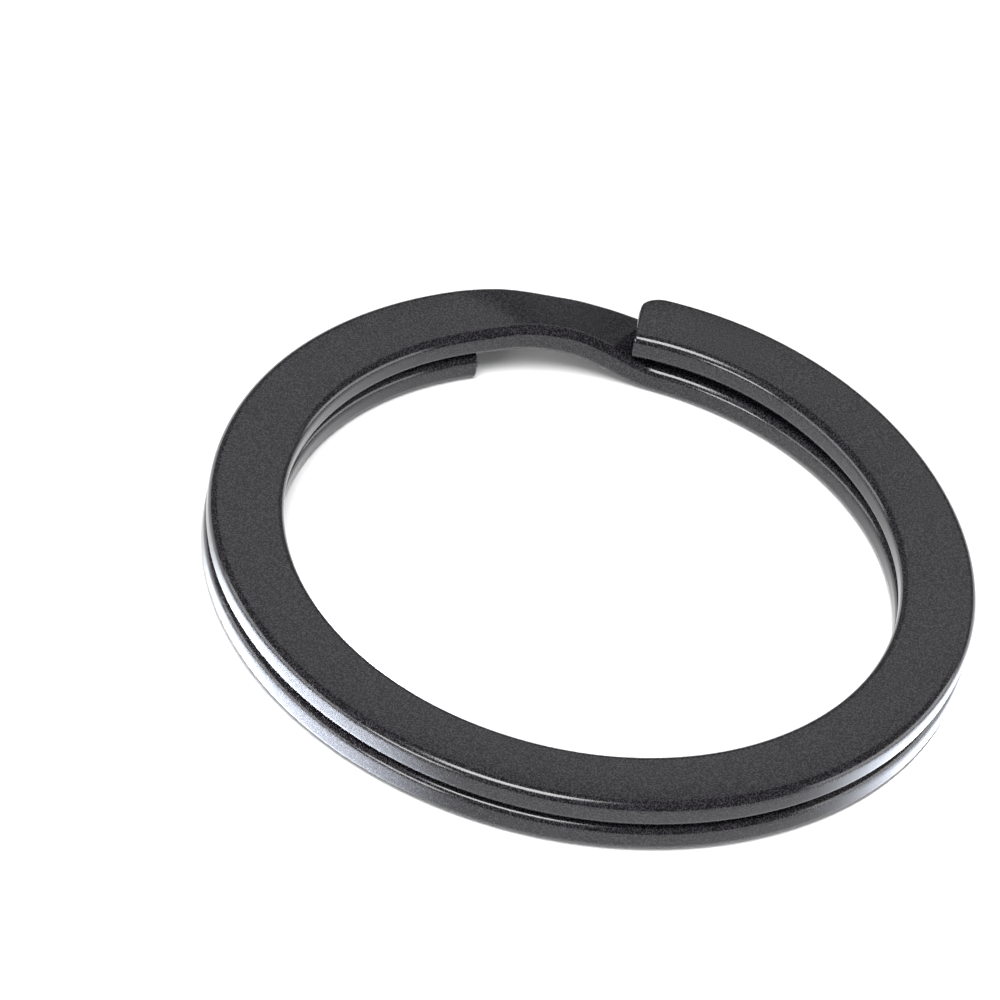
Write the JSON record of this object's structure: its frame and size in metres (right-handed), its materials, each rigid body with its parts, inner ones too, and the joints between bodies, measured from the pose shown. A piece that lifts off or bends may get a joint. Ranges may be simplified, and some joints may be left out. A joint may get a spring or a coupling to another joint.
{
  "type": "split key ring",
  "caption": "Flat-strip split key ring: a black spring strip wound twice round, with a joggle and two free ends that spring apart to let keys on.",
  "frame": {"origin": "on the ring's axis at the base of its bounding box, which is the lower coil's underside", "axes": "+Z is the ring's axis, from the lower coil to the upper one; +Y points from the axis to the middle between the two free ends, beside the joggle; the strip climbs anticlockwise seen from +Z"},
  "size_m": [0.032, 0.032, 0.0028],
  "materials": {
    "black_coated_steel": "thin semi-gloss black coating on rolled spring steel strip"
  },
  "bodies": {
    "joggle": {"joggle_bend": "black_coated_steel"},
    "upper_coil_stretch_01": {"upper_coil_stretch_01": "black_coated_steel"},
    "upper_coil_stretch_02": {"upper_coil_stretch_02": "black_coated_steel"},
    "upper_coil_stretch_03": {"upper_coil_stretch_03": "black_coated_steel"},
    "upper_coil_stretch_04": {"upper_coil_stretch_04": "black_coated_steel"},
    "upper_coil_stretch_05": {"upper_coil_stretch_05": "black_coated_steel"},
    "upper_coil_stretch_06": {"upper_coil_stretch_06": "black_coated_steel"},
    "upper_coil_stretch_07": {"upper_coil_stretch_07": "black_coated_steel"},
    "upper_coil_stretch_08": {"upper_coil_stretch_08": "black_coated_steel"},
    "upper_coil_stretch_09": {"upper_coil_stretch_09": "black_coated_steel"},
    "upper_coil_stretch_10": {"upper_coil_stretch_10": "black_coated_steel"},
    "upper_coil_stretch_11": {"upper_coil_stretch_11": "black_coated_steel"},
    "upper_free_end": {"upper_free_end": "black_coated_steel"},
    "lower_coil_stretch_01": {"lower_coil_stretch_01": "black_coated_steel"},
    "lower_coil_stretch_02": {"lower_coil_stretch_02": "black_coated_steel"},
    "lower_coil_stretch_03": {"lower_coil_stretch_03": "black_coated_steel"},
    "lower_coil_stretch_04": {"lower_coil_stretch_04": "black_coated_steel"},
    "lower_coil_stretch_05": {"lower_coil_stretch_05": "black_coated_steel"},
    "lower_coil_stretch_06": {"lower_coil_stretch_06": "black_coated_steel"},
    "lower_coil_stretch_07": {"lower_coil_stretch_07": "black_coated_steel"},
    "lower_coil_stretch_08": {"lower_coil_stretch_08": "black_coated_steel"},
    "lower_coil_stretch_09": {"lower_coil_stretch_09": "black_coated_steel"},
    "lower_coil_stretch_10": {"lower_coil_stretch_10": "black_coated_steel"},
    "lower_coil_stretch_11": {"lower_coil_stretch_11": "black_coated_steel"},
    "lower_free_end": {"lower_free_end": "black_coated_steel"}
  },
  "joints": [
    {"name": "upper_coil_flex_01", "type": "hinge", "parent": "joggle", "child": "upper_coil_stretch_01", "pos_m": [-0.00632, 0.01297, 0.0019], "axis": [-0.8433, -0.5374, 0], "range_deg": [0, 0.213]},
    {"name": "upper_coil_flex_02", "type": "hinge", "parent": "upper_coil_stretch_01", "child": "upper_coil_stretch_02", "pos_m": [-0.01147, 0.00875, 0.0019], "axis": [-0.0905, -0.9959, 0], "range_deg": [0, 0.292]},
    {"name": "upper_coil_flex_03", "type": "hinge", "parent": "upper_coil_stretch_02", "child": "upper_coil_stretch_03", "pos_m": [-0.01417, 0.00268, 0.0019], "axis": [0.4543, -0.8908, 0], "range_deg": [0, 0.414]},
    {"name": "upper_coil_flex_04", "type": "hinge", "parent": "upper_coil_stretch_03", "child": "upper_coil_stretch_04", "pos_m": [-0.01387, -0.00396, 0.0019], "axis": [0.7688, -0.6395, 0], "range_deg": [0, 0.528]},
    {"name": "upper_coil_flex_05", "type": "hinge", "parent": "upper_coil_stretch_04", "child": "upper_coil_stretch_05", "pos_m": [-0.01062, -0.00976, 0.0019], "axis": [0.8848, -0.466, 0], "range_deg": [0, 0.587]},
    {"name": "upper_coil_opening", "type": "hinge", "parent": "upper_coil_stretch_05", "child": "upper_coil_stretch_06", "pos_m": [-0.00512, -0.01349, 0.0019], "axis": [0.9568, -0.2906, 0], "range_deg": [0, 0.6], "stiffness_Nm_per_rad": 0.03},
    {"name": "upper_coil_flex_07", "type": "hinge", "parent": "upper_coil_stretch_06", "child": "upper_coil_stretch_07", "pos_m": [0.00147, -0.01435, 0.0019], "axis": [0.9942, -0.1079, 0], "range_deg": [0, 0.596]},
    {"name": "upper_coil_flex_08", "type": "hinge", "parent": "upper_coil_stretch_07", "child": "upper_coil_stretch_08", "pos_m": [0.00775, -0.01217, 0.0019], "axis": [0.9961, 0.0878, 0], "range_deg": [0, 0.571]},
    {"name": "upper_coil_flex_09", "type": "hinge", "parent": "upper_coil_stretch_08", "child": "upper_coil_stretch_09", "pos_m": [0.01238, -0.0074, 0.0019], "axis": [0.9548, 0.2972, 0], "range_deg": [0, 0.519]},
    {"name": "upper_coil_flex_10", "type": "hinge", "parent": "upper_coil_stretch_09", "child": "upper_coil_stretch_10", "pos_m": [0.01439, -0.00106, 0.0019], "axis": [0.86, 0.5103, 0], "range_deg": [0, 0.434]},
    {"name": "upper_coil_flex_11", "type": "hinge", "parent": "upper_coil_stretch_10", "child": "upper_coil_stretch_11", "pos_m": [0.01333, 0.0055, 0.00197], "axis": [0.706, 0.7082, 0], "range_deg": [0, 0.314]},
    {"name": "upper_coil_flex_12", "type": "hinge", "parent": "upper_coil_stretch_11", "child": "upper_free_end", "pos_m": [0.00945, 0.0109, 0.00217], "axis": [0.4968, 0.8679, 0], "range_deg": [0, 0.166]},
    {"name": "lower_coil_flex_01", "type": "hinge", "parent": "joggle", "child": "lower_coil_stretch_01", "pos_m": [0.00632, 0.01297, 0.0006], "axis": [0.8433, -0.5374, 0], "range_deg": [0, 0.213]},
    {"name": "lower_coil_flex_02", "type": "hinge", "parent": "lower_coil_stretch_01", "child": "lower_coil_stretch_02", "pos_m": [0.01147, 0.00875, 0.0006], "axis": [0.0905, -0.9959, 0], "range_deg": [0, 0.292]},
    {"name": "lower_coil_flex_03", "type": "hinge", "parent": "lower_coil_stretch_02", "child": "lower_coil_stretch_03", "pos_m": [0.01417, 0.00268, 0.0006], "axis": [-0.4543, -0.8908, 0], "range_deg": [0, 0.414]},
    {"name": "lower_coil_flex_04", "type": "hinge", "parent": "lower_coil_stretch_03", "child": "lower_coil_stretch_04", "pos_m": [0.01387, -0.00396, 0.0006], "axis": [-0.7688, -0.6395, 0], "range_deg": [0, 0.528]},
    {"name": "lower_coil_flex_05", "type": "hinge", "parent": "lower_coil_stretch_04", "child": "lower_coil_stretch_05", "pos_m": [0.01062, -0.00976, 0.0006], "axis": [-0.8848, -0.466, 0], "range_deg": [0, 0.587]},
    {"name": "lower_coil_opening", "type": "hinge", "parent": "lower_coil_stretch_05", "child": "lower_coil_stretch_06", "pos_m": [0.00512, -0.01349, 0.0006], "axis": [-0.9568, -0.2906, 0], "range_deg": [0, 0.6], "stiffness_Nm_per_rad": 0.03},
    {"name": "lower_coil_flex_07", "type": "hinge", "parent": "lower_coil_stretch_06", "child": "lower_coil_stretch_07", "pos_m": [-0.00147, -0.01435, 0.0006], "axis": [-0.9942, -0.1079, 0], "range_deg": [0, 0.596]},
    {"name": "lower_coil_flex_08", "type": "hinge", "parent": "lower_coil_stretch_07", "child": "lower_coil_stretch_08", "pos_m": [-0.00775, -0.01217, 0.0006], "axis": [-0.9961, 0.0878, 0], "range_deg": [0, 0.571]},
    {"name": "lower_coil_flex_09", "type": "hinge", "parent": "lower_coil_stretch_08", "child": "lower_coil_stretch_09", "pos_m": [-0.01238, -0.0074, 0.0006], "axis": [-0.9548, 0.2972, 0], "range_deg": [0, 0.519]},
    {"name": "lower_coil_flex_10", "type": "hinge", "parent": "lower_coil_stretch_09", "child": "lower_coil_stretch_10", "pos_m": [-0.01439, -0.00106, 0.0006], "axis": [-0.86, 0.5103, 0], "range_deg": [0, 0.434]},
    {"name": "lower_coil_flex_11", "type": "hinge", "parent": "lower_coil_stretch_10", "child": "lower_coil_stretch_11", "pos_m": [-0.01333, 0.0055, 0.0006], "axis": [-0.706, 0.7082, 0], "range_deg": [0, 0.314]},
    {"name": "lower_coil_flex_12", "type": "hinge", "parent": "lower_coil_stretch_11", "child": "lower_free_end", "pos_m": [-0.00945, 0.0109, 0.0006], "axis": [-0.4968, 0.8679, 0], "range_deg": [0, 0.166]}
  ],
  "couplings": [
    {"joint": "upper_coil_flex_01", "follows": "upper_coil_opening", "ratio": 0.3537},
    {"joint": "upper_coil_flex_02", "follows": "upper_coil_opening", "ratio": 0.4846},
    {"joint": "upper_coil_flex_03", "follows": "upper_coil_opening", "ratio": 0.6881},
    {"joint": "upper_coil_flex_04", "follows": "upper_coil_opening", "ratio": 0.8776},
    {"joint": "upper_coil_flex_05", "follows": "upper_coil_opening", "ratio": 0.9764},
    {"joint": "upper_coil_flex_07", "follows": "upper_coil_opening", "ratio": 0.9921},
    {"joint": "upper_coil_flex_08", "follows": "upper_coil_opening", "ratio": 0.9501},
    {"joint": "upper_coil_flex_09", "follows": "upper_coil_opening", "ratio": 0.8634},
    {"joint": "upper_coil_flex_10", "follows": "upper_coil_opening", "ratio": 0.7215},
    {"joint": "upper_coil_flex_11", "follows": "upper_coil_opening", "ratio": 0.5221},
    {"joint": "upper_coil_flex_12", "follows": "upper_coil_opening", "ratio": 0.2747},
    {"joint": "lower_coil_flex_01", "follows": "lower_coil_opening", "ratio": 0.3537},
    {"joint": "lower_coil_flex_02", "follows": "lower_coil_opening", "ratio": 0.4846},
    {"joint": "lower_coil_flex_03", "follows": "lower_coil_opening", "ratio": 0.6881},
    {"joint": "lower_coil_flex_04", "follows": "lower_coil_opening", "ratio": 0.8776},
    {"joint": "lower_coil_flex_05", "follows": "lower_coil_opening", "ratio": 0.9764},
    {"joint": "lower_coil_flex_07", "follows": "lower_coil_opening", "ratio": 0.9921},
    {"joint": "lower_coil_flex_08", "follows": "lower_coil_opening", "ratio": 0.9501},
    {"joint": "lower_coil_flex_09", "follows": "lower_coil_opening", "ratio": 0.8634},
    {"joint": "lower_coil_flex_10", "follows": "lower_coil_opening", "ratio": 0.7215},
    {"joint": "lower_coil_flex_11", "follows": "lower_coil_opening", "ratio": 0.5221},
    {"joint": "lower_coil_flex_12", "follows": "lower_coil_opening", "ratio": 0.2747}
  ]
}
